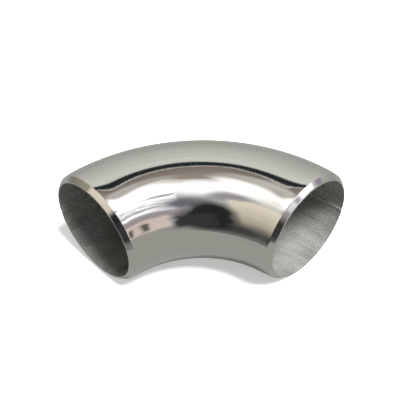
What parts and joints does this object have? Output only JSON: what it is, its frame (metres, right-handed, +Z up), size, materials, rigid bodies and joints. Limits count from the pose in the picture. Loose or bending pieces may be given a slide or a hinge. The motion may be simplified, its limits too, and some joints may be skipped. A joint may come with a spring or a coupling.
{
  "type": "pipe elbow",
  "caption": "Ninety degree long-radius butt-weld pipe elbow with bevelled ends, which turns a pipeline through a right angle.",
  "frame": {"origin": "on the surface the elbow lies on, under the middle of its overall box", "axes": "+Z up, square to the plane of the bend; -Y out of port A; +X out of port B"},
  "size_m": [0.1329, 0.1329, 0.0761],
  "materials": {
    "polished_stainless": "mirror polished outside, pickled matte in the bore, fine machined lines on the bevels",
    "stainless_weld_metal": "ground and polished flush outside, satin in the bore"
  },
  "bodies": {
    "root": {"elbow_tube": "polished_stainless", "seam_weld": "stainless_weld_metal"}
  },
  "joints": []
}
